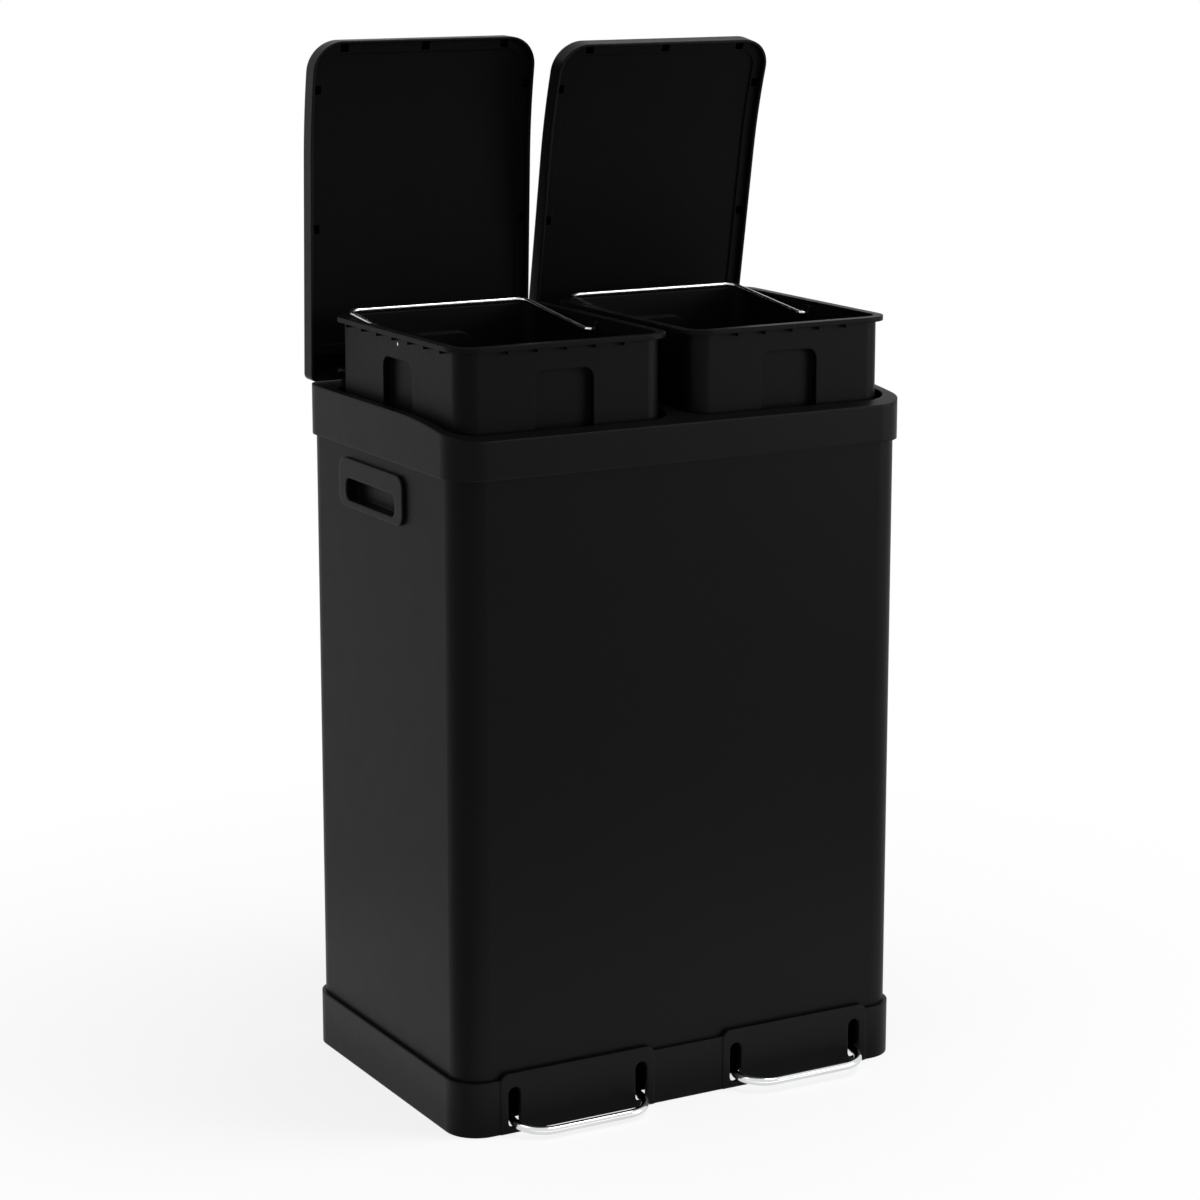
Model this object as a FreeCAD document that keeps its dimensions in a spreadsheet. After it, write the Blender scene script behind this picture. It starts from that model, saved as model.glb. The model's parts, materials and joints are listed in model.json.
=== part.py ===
"""Double recycling bin: a steel-clad pedal bin with two lids and two lift-out buckets.

Frame: +X right, +Y back, +Z up, in millimetres. The origin lies on the floor, under the
middle of the steel body. The pieces are placed as the object stands: pedals down, lids
open, buckets lifted part of the way out of the top frame.
"""
import FreeCAD, Part
import math
import os
import Sketcher

DOC = FreeCAD.newDocument("double_recycling_bin")
VECTOR = FreeCAD.Vector

# ---------------------------------------------------------------- driving dimensions
DIMENSIONS = [
    # steel body
    ("shell_width", 480), ("shell_depth", 326), ("shell_corner", 28),
    ("sheet_thickness", 0.8), ("seam_width", 14), ("seam_clearance", 1),
    # plastic base and feet
    ("trim_overhang", 4), ("base_top", 53), ("deck_top", 48), ("deck_thickness", 3),
    ("skirt_wall", 3), ("fit_gap", 0.15), ("upstand_height", 8), ("upstand_wall", 2),
    ("rib_height", 33), ("rib_thickness", 2), ("rib_clearance", 5.25), ("apron_width", 165),
    ("apron_top", 58.5), ("apron_corner", 8), ("apron_proud", 1), ("slot_width", 13),
    ("slot_bottom", 5), ("slot_top", 45), ("foot_radius", 11), ("foot_height", 3),
    ("foot_boss_wall", 3), ("foot_skirt_gap", 5),
    # top frame
    ("collar_bottom", 621), ("collar_top", 669), ("flat_front_set", 116),
    ("nose_radius", 600), ("shell_lap", 8), ("throat_wall", 2.5), ("ledge_plate", 3),
    ("throat_gap", 0.45), ("recess_gap", 0.6), ("rim_recess", 9), ("seat_gap", 0.1),
    ("core_front_gap", 4), ("slot_margin", 5),
    # grips in the sides
    ("grip_middle", 14.5), ("grip_width", 109), ("grip_bottom", 567), ("grip_height", 25),
    ("grip_corner", 9), ("bezel_width", 137), ("bezel_below", 5), ("bezel_height", 47),
    ("bezel_proud", 3.5), ("bezel_corner", 12), ("grip_depth", 9.9), ("grip_back", 1.4),
    # buckets
    ("bucket_gap", 16), ("rim_side_set", 6), ("rim_front_set", 13), ("rim_rear_set", 41),
    ("rim_corner", 25), ("rim_overhang", 7), ("rim_height", 4.6), ("rim_plate", 2),
    ("rim_lip", 1.8), ("bucket_wall", 2.2), ("bucket_floor_gap", 2), ("bucket_lift", 79),
    ("band_height", 110), ("foot_draw", 11), ("foot_round", 6), ("panel_width", 61),
    ("panel_drop", 26), ("panel_height", 82), ("panel_depth", 8), ("panel_corner", 10),
    ("gusset_thickness", 1.5), ("gusset_height", 6), ("gusset_side_pitch", 33),
    ("gusset_end_pitch", 30),
    # bails
    ("bail_wire", 4), ("bail_side_set", 17), ("bail_end_set", 5), ("bail_corner", 12),
    ("bail_hook", 4), ("bail_drop", 12), ("bail_rest_height", 3.2), ("boss_width", 14),
    ("boss_height", 16), ("boss_depth", 3),
    # lids
    ("lid_inner", 2.7), ("lid_front_reach", 3), ("lid_gap", 0.5), ("lid_height", 19),
    ("lid_wall", 2.5), ("lid_front_corner", 30), ("lid_rear_corner", 6),
    ("lid_edge_round", 2.2), ("hinge_set", 6), ("hinge_rise", 7), ("open_left", 88),
    ("open_right", 80), ("liner_rise", 5), ("liner_thickness", 3.5), ("liner_gap", 0.3),
    ("liner_hinge_gap", 19), ("liner_band", 10), ("liner_step", 1.5), ("clip_width", 8.5),
    ("clip_depth", 8), ("clip_corner_set", 33), ("clip_rear_set", 142),
    ("clip_front_set", 47),
    # hinges
    ("pin_diameter", 4), ("pin_length", 27), ("pin_play", 0.08), ("lug_inner_set", 45),
    ("lug_outer_set", 42), ("lug_width", 12), ("lug_radius", 3.6), ("lug_root", 1),
    ("ear_width", 7), ("ear_radius", 5), ("ear_gap", 0.5),
    # lift linkage
    ("lift_radius", 13), ("crank_thickness", 6), ("crank_wall", 2.6),
    ("eye_radius", 4.4), ("rod_diameter", 4), ("rod_set", 9), ("rod_bend", 5),
    ("rod_overrun", 2), ("guide_low_height", 180), ("guide_high_height", 470),
    ("guide_width", 16), ("guide_height", 12), ("guide_front", 7),
    # pedals
    ("pedal_width", 136.5), ("pedal_wire", 8), ("pedal_reach", 34), ("pedal_bend", 28),
    ("axle_rear_set", 135), ("axle_height", 31), ("axle_diameter", 6),
    ("pedal_down", 6.235), ("socket_depth", 13.5), ("beam_front", 20), ("beam_rear", 8),
    ("beam_height", 12), ("beam_overrun", 8), ("arm_height", 10), ("arm_drop", 5.64),
    ("arm_hole_radius", 2.7), ("bearing_thickness", 8), ("bearing_depth", 16),
    ("bearing_gap", 0.5), ("bearing_flange", 14), ("bearing_plate", 3),
]
LID_TRAVEL = 90  # degrees from closed to the stop


def written(value):
    """A number or a Size as the text of a formula."""
    return value.text if isinstance(value, Size) else repr(value)


def root(value):
    """The square root of a Size."""
    return Size(math.sqrt(value.number), f"sqrt({value.text})")


class Size:
    """A length with its present number and the formula that gives it from the sheet."""

    def __init__(self, number, text):
        self.number = float(number)
        self.text = text

    def __float__(self):
        return self.number

    def __add__(self, other):
        return Size(self.number + float(other), f"({self.text} + {written(other)})")

    def __radd__(self, other):
        return Size(float(other) + self.number, f"({written(other)} + {self.text})")

    def __sub__(self, other):
        return Size(self.number - float(other), f"({self.text} - {written(other)})")

    def __rsub__(self, other):
        return Size(float(other) - self.number, f"({written(other)} - {self.text})")

    def __mul__(self, other):
        return Size(self.number * float(other), f"({self.text} * {written(other)})")

    __rmul__ = __mul__

    def __truediv__(self, other):
        return Size(self.number / float(other), f"({self.text} / {written(other)})")

    def __neg__(self):
        return Size(-self.number, f"(-1 * {self.text})")


class Sizes:
    """The sheet of driving dimensions; each is an attribute that holds a Size."""

    def __init__(self, table):
        self.sheet = DOC.addObject("Spreadsheet::Sheet", "sizes")
        for row, (alias, number) in enumerate(table, start=1):
            cell = f"B{row}"
            self.sheet.set(f"A{row}", alias)
            self.sheet.set(cell, str(number))
            self.sheet.setAlias(cell, alias)
            setattr(self, alias, Size(number, f"sizes.{alias}"))
        DOC.recompute()


S = Sizes(DIMENSIONS)

# ---------------------------------------------------------------- drawing helpers
PLANE_ROLE = {"XY": "XY_Plane", "XZ": "XZ_Plane", "YZ": "YZ_Plane"}
PLANE_TURN = {
    "XY": FreeCAD.Rotation(),
    "XZ": FreeCAD.Rotation(VECTOR(1, 0, 0), 90),
    "YZ": FreeCAD.Rotation(0.5, 0.5, 0.5, 0.5),
}
PLANE_AXIS = {"XY": ("z", VECTOR(0, 0, 1)), "XZ": ("y", VECTOR(0, 1, 0)),
              "YZ": ("x", VECTOR(1, 0, 0))}


def bind(thing, name, size):
    """Tie a property or a named constraint to its formula in the sheet."""
    thing.setExpression(name, written(size))


def point(x, y):
    return VECTOR(float(x), float(y), 0)


def hold_point(sketch, geometry, end, x, y):
    """Fix one end of a line or arc, or a centre, by its distances from the origin."""
    for kind, value in (("DistanceX", x), ("DistanceY", y)):
        index = sketch.addConstraint(
            Sketcher.Constraint(kind, -1, 1, geometry, end, float(value)))
        if isinstance(value, Size):
            bind(sketch, f"Constraints[{index}]", value)


def hold_radius(sketch, geometry, radius):
    index = sketch.addConstraint(Sketcher.Constraint("Radius", geometry, float(radius)))
    bind(sketch, f"Constraints[{index}]", radius)


def arc_between(start, end, radius, left):
    """A shorter arc from start to end; left says that it turns to the left."""
    middle = (start + end) * 0.5
    chord = end - start
    half = chord.Length / 2
    normal = VECTOR(-chord.y, chord.x, 0).normalize()
    rise = math.sqrt(max(radius * radius - half * half, 0))
    centre = middle + normal * (rise if left else -rise)
    first, last = (start, end) if left else (end, start)
    angles = [math.atan2(p.y - centre.y, p.x - centre.x) for p in (first, last)]
    circle = Part.Circle(centre, VECTOR(0, 0, 1), radius)
    return Part.ArcOfCircle(circle, angles[0], angles[1])


def draw(sketch, path, closed=True):
    """Draw corners (x, y), or (x, y, radius, left) where an arc leads to the next one."""
    count = len(path)
    ends = []
    for index in range(count if closed else count - 1):
        here, there = path[index], path[(index + 1) % count]
        start, end = point(*here[:2]), point(*there[:2])
        if len(here) == 2:
            geometry = sketch.addGeometry(Part.LineSegment(start, end), False)
            ends.append((geometry, 1, 2))
            continue
        arc = arc_between(start, end, float(here[2]), here[3])
        geometry = sketch.addGeometry(arc, False)
        ends.append((geometry, 1, 2) if here[3] else (geometry, 2, 1))
        hold_radius(sketch, geometry, here[2])
    for index, (geometry, first, last) in enumerate(ends):
        hold_point(sketch, geometry, first, *path[index][:2])
        if index + 1 < len(ends) or closed:
            following = ends[(index + 1) % len(ends)]
            sketch.addConstraint(Sketcher.Constraint(
                "Coincident", geometry, last, following[0], following[1]))
        else:
            hold_point(sketch, geometry, last, *path[-1][:2])


def rectangle(low_x, high_x, low_y, high_y, corner=None):
    """The path of a rectangle, with round corners where a radius is given."""
    if corner is None:
        return [(low_x, low_y), (high_x, low_y), (high_x, high_y), (low_x, high_y)]
    return [
        (low_x + corner, low_y), (high_x - corner, low_y, corner, True),
        (high_x, low_y + corner), (high_x, high_y - corner, corner, True),
        (high_x - corner, high_y), (low_x + corner, high_y, corner, True),
        (low_x, high_y - corner), (low_x, low_y + corner, corner, True),
    ]


def centred(half_x, half_y, corner, middle_x=0, middle_y=0):
    """The path of a rounded rectangle about a middle."""
    return rectangle(middle_x - half_x, middle_x + half_x,
                     middle_y - half_y, middle_y + half_y, corner)


def circle(sketch, x, y, radius):
    geometry = sketch.addGeometry(
        Part.Circle(point(x, y), VECTOR(0, 0, 1), float(radius)), False)
    hold_point(sketch, geometry, 3, x, y)
    hold_radius(sketch, geometry, radius)


def set_place(thing, placement_name, axis, size):
    bind(thing, f"{placement_name}.Base.{axis}", size)


class Moulding:
    """A body made of sketches, pads and pockets."""

    def __init__(self, name):
        self.name = name
        self.body = DOC.addObject("PartDesign::Body", name)
        self.count = 0

    def label(self, kind):
        self.count += 1
        return f"{self.name}_{kind}_{self.count}"

    def sketch(self, plane, level):
        """A sketch parallel to a plane of the body, at a level along +X, +Y or +Z."""
        made = self.body.newObject("Sketcher::SketchObject", self.label("outline"))
        origin = self.body.Origin.OriginFeatures
        role = PLANE_ROLE[plane]
        made.AttachmentSupport = [([f for f in origin if f.Role == role][0], "")]
        made.MapMode = "FlatFace"
        offset = -level if plane == "XZ" else level
        made.AttachmentOffset = FreeCAD.Placement(VECTOR(0, 0, float(offset)),
                                                  FreeCAD.Rotation())
        if isinstance(offset, Size):
            set_place(made, "AttachmentOffset", "z", offset)
        return made

    def pad(self, plane, low, high, *paths, circles=()):
        """Fill the paths between two levels."""
        outline = self.sketch(plane, high if plane == "XZ" else low)
        for path in paths:
            draw(outline, path)
        for ring in circles:
            circle(outline, *ring)
        made = self.body.newObject("PartDesign::Pad", self.label("pad"))
        made.Profile = outline
        bind(made, "Length", high - low)
        return made

    def pocket(self, plane, low, high, *paths, circles=()):
        """Cut the paths out between two levels."""
        outline = self.sketch(plane, low if plane == "XZ" else high)
        for path in paths:
            draw(outline, path)
        for ring in circles:
            circle(outline, *ring)
        made = self.body.newObject("PartDesign::Pocket", self.label("pocket"))
        made.Profile = outline
        bind(made, "Length", high - low)
        return made


def prism(name, plane, low, high, *paths, circles=()):
    """An extrusion of paths drawn parallel to a plane, between two levels."""
    axis, direction = PLANE_AXIS[plane]
    outline = DOC.addObject("Sketcher::SketchObject", name + "_outline")
    outline.Placement = FreeCAD.Placement(direction * float(low), PLANE_TURN[plane])
    if isinstance(low, Size):
        set_place(outline, "Placement", axis, low)
    for path in paths:
        draw(outline, path)
    for ring in circles:
        circle(outline, *ring)
    made = DOC.addObject("Part::Extrusion", name)
    made.Base = outline
    made.DirMode = "Custom"
    made.Dir = direction
    made.Solid = True
    bind(made, "LengthFwd", high - low)
    return made


def joined(name, *shapes):
    made = DOC.addObject("Part::MultiFuse", name)
    made.Shapes = list(shapes)
    made.Refine = True
    return made


def shared(name, *shapes):
    made = DOC.addObject("Part::MultiCommon", name)
    made.Shapes = list(shapes)
    return made


def cut(name, base, tool):
    made = DOC.addObject("Part::Cut", name)
    made.Base = base
    made.Tool = tool
    return made


def group(name, members):
    """Several equal pieces kept as separate solids under one name."""
    made = DOC.addObject("Part::Compound", name)
    made.Links = list(members)
    return made


def bent_wire(name, plane, path, diameter, start_plane, start_level, start):
    """A round wire bent along a flat path that starts square to start_plane."""
    piece = Moulding(name)
    route = piece.sketch(plane, 0)
    draw(route, path, closed=False)
    section = piece.sketch(start_plane, start_level)
    circle(section, *start, diameter / 2)
    DOC.recompute()
    pipe = piece.body.newObject("PartDesign::AdditivePipe", piece.label("pipe"))
    pipe.Profile = section
    pipe.Spine = (route, [f"Edge{n}" for n in range(1, len(path))])
    return piece.body


# ---------------------------------------------------------------- shared sizes
HALF_WIDTH = S.shell_width / 2
HALF_DEPTH = S.shell_depth / 2
TRIM_HALF_WIDTH = HALF_WIDTH + S.trim_overhang
TRIM_HALF_DEPTH = HALF_DEPTH + S.trim_overhang
TRIM_CORNER = S.shell_corner + S.trim_overhang
SHELL_TOP = S.collar_bottom + S.shell_lap
NOSE_START = S.flat_front_set - HALF_DEPTH
BUCKET_X = (HALF_WIDTH - S.rim_side_set + S.bucket_gap / 2) / 2
BUCKET_Y = (S.rim_front_set - S.rim_rear_set) / 2
RIM_HALF_X = (HALF_WIDTH - S.rim_side_set - S.bucket_gap / 2) / 2
RIM_HALF_Y = HALF_DEPTH - (S.rim_front_set + S.rim_rear_set) / 2
BUCKET_TOP = S.collar_top - S.rim_recess
BUCKET_BOTTOM = S.deck_top + S.bucket_floor_gap
LEDGE = BUCKET_TOP - S.rim_plate - S.gusset_height - S.seat_gap
HALF_WALL_X = RIM_HALF_X - S.rim_overhang
HALF_WALL_Y = RIM_HALF_Y - S.rim_overhang
WALL_CORNER = S.rim_corner - S.rim_overhang
BAIL_HALF_X = RIM_HALF_X - S.bail_side_set
BAIL_REACH = RIM_HALF_Y - S.bail_end_set
HINGE_Y = HALF_DEPTH - S.hinge_set
HINGE_Z = S.collar_top + S.hinge_rise
LID_OUTER = HALF_WIDTH
LID_FRONT = HALF_DEPTH + S.lid_front_reach
LID_REAR = HALF_DEPTH
LINER_REAR = HINGE_Y - S.liner_hinge_gap
LUG_INNER = S.lug_inner_set
LUG_OUTER = LID_OUTER - S.lug_outer_set
SLOT_INNER = BUCKET_X - S.pedal_width / 2
SLOT_OUTER = BUCKET_X + S.pedal_width / 2
PEDAL_FRONT = HALF_DEPTH + S.pedal_reach
AXLE_Y = HALF_DEPTH - S.axle_rear_set
CRANK_X = BUCKET_X
ROD_X = CRANK_X + S.rod_set
TOLERANCE = 0.01
ROD_TRAVEL = 2 * S.lift_radius * math.sin(math.radians(LID_TRAVEL / 2))
ROD_Y = HINGE_Y - S.lift_radius * (1 + math.cos(math.radians(LID_TRAVEL / 2))) / 2
ARM_REACH = ROD_Y - AXLE_Y
PEDAL_SWING = math.degrees(float(ROD_TRAVEL) / float(ARM_REACH))
PEDAL_MIDDLE = math.radians(float(S.pedal_down) - PEDAL_SWING / 2)
ROD_FOOT = (S.axle_height + ARM_REACH * math.sin(PEDAL_MIDDLE)
            - S.arm_drop * math.cos(PEDAL_MIDDLE))


def shell_outline(inset):
    """The body's plan, drawn in by an inset, or out where it is negative."""
    return centred(S.shell_width / 2 - inset, S.shell_depth / 2 - inset,
                   S.shell_corner - inset)


def throat(side, inset):
    """The plan of a bucket's opening in the top frame."""
    return centred(HALF_WALL_X + S.throat_gap - inset,
                   HALF_WALL_Y + S.throat_gap - inset,
                   WALL_CORNER + S.throat_gap - inset,
                   side * BUCKET_X, BUCKET_Y)


def crown(rise, front):
    """Height of the collar's curved profile, raised by rise, at the front position."""
    reach = front + NOSE_START
    arc = S.nose_radius + rise
    return S.collar_top - S.nose_radius + root(arc * arc - reach * reach)


def band(low, high, front, rear):
    """Side profile between two heights above the collar, following its curved nose."""
    return [
        (rear, S.collar_top + low),
        (NOSE_START, S.collar_top + low, S.nose_radius + low, True),
        (-front, crown(low, front)),
        (-front, crown(high, front), S.nose_radius + high, False),
        (NOSE_START, S.collar_top + high),
        (rear, S.collar_top + high),
    ]


# ---------------------------------------------------------------- steel body
def make_body_shell():
    piece = Moulding("body_shell")
    piece.pad("XY", S.deck_top, SHELL_TOP, shell_outline(0),
              shell_outline(S.sheet_thickness))
    inside = HALF_DEPTH - S.sheet_thickness
    seam_foot = S.deck_top + S.upstand_height + S.seam_clearance
    piece.pad("XY", seam_foot, SHELL_TOP,
              rectangle(-S.seam_width / 2, S.seam_width / 2,
                        inside - S.sheet_thickness, inside))
    reach = S.shell_width / 2 + S.trim_overhang
    piece.pocket("YZ", -reach, reach, grip_outline(-S.fit_gap))
    return piece.body


def grip_outline(inset):
    """The window of a grip, seen from the side."""
    middle_z = S.grip_bottom + S.grip_height / 2
    return centred(S.grip_width / 2 - inset, S.grip_height / 2 - inset,
                   S.grip_corner - inset, S.grip_middle, middle_z)


def make_grip():
    """A plastic grip: a bezel outside the steel and a shallow tub behind it."""
    piece = Moulding("grip_right")
    face = S.shell_width / 2
    bezel_middle_z = S.grip_bottom - S.bezel_below + S.bezel_height / 2
    piece.pad("YZ", face - S.grip_depth - S.grip_back, face + S.bezel_proud,
              grip_outline(0))
    piece.pad("YZ", face, face + S.bezel_proud,
              centred(S.bezel_width / 2, S.bezel_height / 2, S.bezel_corner,
                      S.grip_middle, bezel_middle_z))
    piece.pocket("YZ", face - S.grip_depth, face + S.bezel_proud,
                 grip_outline(S.grip_back))
    return piece.body


# ---------------------------------------------------------------- base
def make_base():
    piece = Moulding("base")
    under_deck = S.deck_top - S.deck_thickness
    piece.pad("XY", 0, S.base_top,
              centred(TRIM_HALF_WIDTH, TRIM_HALF_DEPTH, TRIM_CORNER))
    piece.pocket("XY", S.deck_top, S.base_top, shell_outline(-S.fit_gap))
    inner = S.sheet_thickness + S.fit_gap
    piece.pad("XY", S.deck_top, S.deck_top + S.upstand_height,
              shell_outline(inner), shell_outline(inner + S.upstand_wall))
    piece.pocket("XY", 0, under_deck,
                 shell_outline(S.skirt_wall - S.trim_overhang))
    piece.pad("XZ", -(TRIM_HALF_DEPTH + S.apron_proud),
              -(S.shell_depth / 2 + S.fit_gap), apron(-1), apron(1))
    front = TRIM_HALF_DEPTH + S.apron_proud
    piece.pocket("XZ", -front, -(HALF_DEPTH - S.skirt_wall),
                 *[slot(side * x) for side in (-1, 1) for x in (SLOT_INNER, SLOT_OUTER)])
    # two long ribs stiffen the floor between the pedals
    rib_end = TRIM_HALF_DEPTH - S.skirt_wall
    rib_outer = bearing_span()[0] - S.rib_clearance
    rib_inner = rib_outer - S.rib_thickness
    piece.pad("XY", under_deck - S.rib_height, under_deck,
              rectangle(rib_inner, rib_outer, -rib_end, rib_end),
              rectangle(-rib_outer, -rib_inner, -rib_end, rib_end))
    boss = S.foot_radius + S.foot_boss_wall
    piece.pad("XY", 0, under_deck,
              circles=[(x, y, boss) for x, y in foot_places()])
    piece.pocket("XY", 0, S.foot_height,
                 circles=[(x, y, S.foot_radius + S.fit_gap) for x, y in foot_places()])
    piece.pocket("XY", under_deck, S.deck_top, rod_passage(1), rod_passage(-1))
    return piece.body


def apron(side):
    """One of the two raised panels that the pedals come through, seen from the front."""
    middle = side * BUCKET_X
    low_x, high_x = middle - S.apron_width / 2, middle + S.apron_width / 2
    corner = S.apron_corner
    return [
        (low_x, 0), (high_x, 0),
        (high_x, S.apron_top - corner, corner, True), (high_x - corner, S.apron_top),
        (low_x + corner, S.apron_top, corner, True), (low_x, S.apron_top - corner),
    ]


def slot(x):
    """An upright slot with round ends, seen from the front."""
    half = S.slot_width / 2
    low, high = S.slot_bottom + half, S.slot_top - half
    return [(x + half, low), (x + half, high, half, True), (x, S.slot_top, half, True),
            (x - half, high), (x - half, low, half, True), (x, S.slot_bottom, half, True)]


def foot_places():
    inset = S.foot_radius + S.foot_boss_wall + S.skirt_wall + S.foot_skirt_gap
    x, y = TRIM_HALF_WIDTH - inset, TRIM_HALF_DEPTH - inset
    return [(side * x, end * y) for side in (-1, 1) for end in (-1, 1)]


def rod_passage(side):
    """The opening that a push rod and its hook pass through, seen from above."""
    near = CRANK_X - S.crank_thickness / 2 - S.rod_overrun - S.slot_margin / 2
    far = ROD_X + S.rod_diameter / 2 + S.slot_margin / 2
    low_x, high_x = (near, far) if side > 0 else (-far, -near)
    return rectangle(low_x, high_x, ROD_Y - 2 * S.slot_margin, ROD_Y + 2 * S.slot_margin)


def make_feet():
    feet = []
    for index, (x, y) in enumerate(foot_places()):
        feet.append(prism(f"foot_{index}", "XY", 0, S.foot_height,
                          circles=[(x, y, S.foot_radius)]))
    return group("floor_feet", feet)


# ---------------------------------------------------------------- top frame
def make_top_frame():
    piece = Moulding("top_frame")
    piece.pad("XY", S.collar_bottom, S.collar_top,
              centred(TRIM_HALF_WIDTH, TRIM_HALF_DEPTH, TRIM_CORNER))
    beyond = TRIM_HALF_DEPTH + S.trim_overhang
    above = S.collar_top + S.trim_overhang
    piece.pocket("YZ", -TRIM_HALF_WIDTH, TRIM_HALF_WIDTH, [
        (NOSE_START, S.collar_top, S.nose_radius, True),
        (-beyond, crown(0, beyond)), (-beyond, above), (NOSE_START, above)])
    piece.pocket("XY", LEDGE, S.collar_top, *[
        centred(RIM_HALF_X + S.recess_gap, RIM_HALF_Y + S.recess_gap,
                S.rim_corner + S.recess_gap, side * BUCKET_X, BUCKET_Y)
        for side in (-1, 1)])
    piece.pocket("XY", S.collar_bottom, LEDGE, throat(-1, 0), throat(1, 0))
    walls = [throat(-1, -S.throat_wall), throat(1, -S.throat_wall)]
    piece.pocket("XY", S.collar_bottom, SHELL_TOP, shell_outline(-S.fit_gap), *walls)
    piece.pocket("XY", SHELL_TOP, LEDGE - S.ledge_plate,
                 shell_outline(S.sheet_thickness + S.skirt_wall), *walls)
    near = CRANK_X - S.crank_thickness / 2 - S.rod_overrun - S.slot_margin / 2
    far = ROD_X + S.rod_diameter / 2 + S.slot_margin / 2
    front, back = ROD_Y - 2 * S.slot_margin, HINGE_Y + S.lug_radius
    piece.pocket("XY", LEDGE - 2 * S.ledge_plate, S.collar_top,
                 rectangle(near, far, front, back), rectangle(-far, -near, front, back))
    core_front = BUCKET_Y + RIM_HALF_Y + S.core_front_gap
    core_back = HALF_DEPTH - S.sheet_thickness - S.skirt_wall
    core_end = HALF_WIDTH - S.shell_corner
    piece.pocket("XY", LEDGE - S.ledge_plate, S.collar_top - S.ledge_plate,
                 rectangle(S.throat_wall, core_end, core_front, core_back),
                 rectangle(-core_end, -S.throat_wall, core_front, core_back))
    lug_foot = S.collar_top - S.lug_root
    for x in lug_places():
        piece.pad("YZ", x - S.lug_width / 2, x + S.lug_width / 2, [
            (HINGE_Y - S.lug_radius, lug_foot), (HINGE_Y + S.lug_radius, lug_foot),
            (HINGE_Y + S.lug_radius, HINGE_Z, S.lug_radius, True),
            (HINGE_Y, HINGE_Z + S.lug_radius, S.lug_radius, True),
            (HINGE_Y - S.lug_radius, HINGE_Z)])
    piece.pocket("YZ", -TRIM_HALF_WIDTH, TRIM_HALF_WIDTH, circles=[
        (HINGE_Y, HINGE_Z, S.pin_diameter / 2 + S.pin_play)])
    return piece.body


def lug_places():
    return [side * x for side in (-1, 1) for x in (LUG_INNER, LUG_OUTER)]


# ---------------------------------------------------------------- lids
def make_lid_shell():
    """The outer cover of the right lid, as it lies closed."""
    inner, outer = S.lid_inner, LID_OUTER
    top = S.lid_gap + S.lid_height
    sides = prism("lid_profile", "YZ", inner, outer,
                  heel() + band(S.lid_gap, top, LID_FRONT, LID_REAR)[1:])
    low, high = S.collar_top - S.trim_overhang * 6, S.collar_top + top + S.trim_overhang
    plan = prism("lid_plan", "XY", low, high, lid_plan(0, S.lid_rear_corner))
    block = shared("lid_block", sides, plan)
    DOC.recompute()
    rounded = DOC.addObject("Part::Fillet", "lid_rounded")
    rounded.Base = block
    edges = []
    for number, edge in enumerate(block.Shape.Edges, start=1):
        if on_top(edge):
            edges.append((number, float(S.lid_edge_round), float(S.lid_edge_round)))
    rounded.Edges = edges
    hollow_sides = prism("lid_hollow_profile", "YZ", inner + S.lid_wall, outer - S.lid_wall,
                         band(-S.lid_height, top - S.lid_wall, LID_FRONT - S.lid_wall,
                              LID_REAR - S.lid_wall))
    hollow_plan = prism("lid_hollow_plan", "XY", low, high,
                        lid_plan(S.lid_wall, S.lid_rear_corner - S.lid_wall))
    hollow = shared("lid_hollow", hollow_sides, hollow_plan)
    cover = cut("lid_cover", rounded, hollow)
    roof = S.collar_top + top - S.lid_wall / 2
    ears = []
    notches = []
    for index, x in enumerate((LUG_INNER, LUG_OUTER)):
        clear = S.lug_width / 2 + S.ear_gap
        for hand in (-1, 1):
            low_x = x + clear if hand > 0 else x - clear - S.ear_width
            ears.append(prism(f"ear_{index}_{hand + 1}", "YZ", low_x, low_x + S.ear_width, [
                (HINGE_Y + S.ear_radius, HINGE_Z), (HINGE_Y + S.ear_radius, roof),
                (HINGE_Y - S.ear_radius, roof),
                (HINGE_Y - S.ear_radius, HINGE_Z, S.ear_radius, True),
                (HINGE_Y, HINGE_Z - S.ear_radius, S.ear_radius, True)]))
        notches.append(prism(f"lug_notch_{index}", "YZ", x - clear, x + clear, rectangle(
            HINGE_Y, LID_REAR + S.lid_wall, S.collar_top,
            HINGE_Z + S.lug_radius + S.ear_gap)))
    crank = prism("crank", "YZ", CRANK_X - S.crank_thickness / 2,
                  CRANK_X + S.crank_thickness / 2, crank_outline(roof))
    body = joined("lid_with_ears", cover, *ears, crank)
    bores = prism("ear_bores", "YZ", inner + 2 * S.lid_wall, outer - 2 * S.lid_wall,
                  circles=[(HINGE_Y, HINGE_Z, S.pin_diameter / 2 + S.pin_play / 2)])
    eye_y, eye_z = eye_place()
    eye = prism("crank_eye", "YZ", CRANK_X - S.crank_thickness,
                CRANK_X + S.crank_thickness, circles=[(eye_y, eye_z, S.eye_radius)])
    tools = joined("lid_cuts", bores, eye, *notches)
    return cut("lid_shell_right", body, tools)


def heel():
    """The lid's rear lower edge, an arc about the hinge that clears the frame."""
    radius = S.hinge_rise - S.lid_gap
    return [
        (LID_REAR, HINGE_Z - root(radius * radius - S.hinge_set * S.hinge_set),
         radius, False),
        (HINGE_Y, S.collar_top + S.lid_gap),
    ]


def lid_plan(inset, rear_corner):
    """The right lid's plan: large round corners at the front, small ones at the hinge."""
    low_x, high_x = S.lid_inner + inset, LID_OUTER - inset
    front, rear = -(LID_FRONT - inset), LID_REAR - inset
    big, small = S.lid_front_corner - inset, rear_corner
    return [
        (low_x + big, front), (high_x - big, front, big, True),
        (high_x, front + big), (high_x, rear - small, small, True),
        (high_x - small, rear), (low_x + small, rear, small, True),
        (low_x, rear - small), (low_x, front + big, big, True),
    ]


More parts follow.
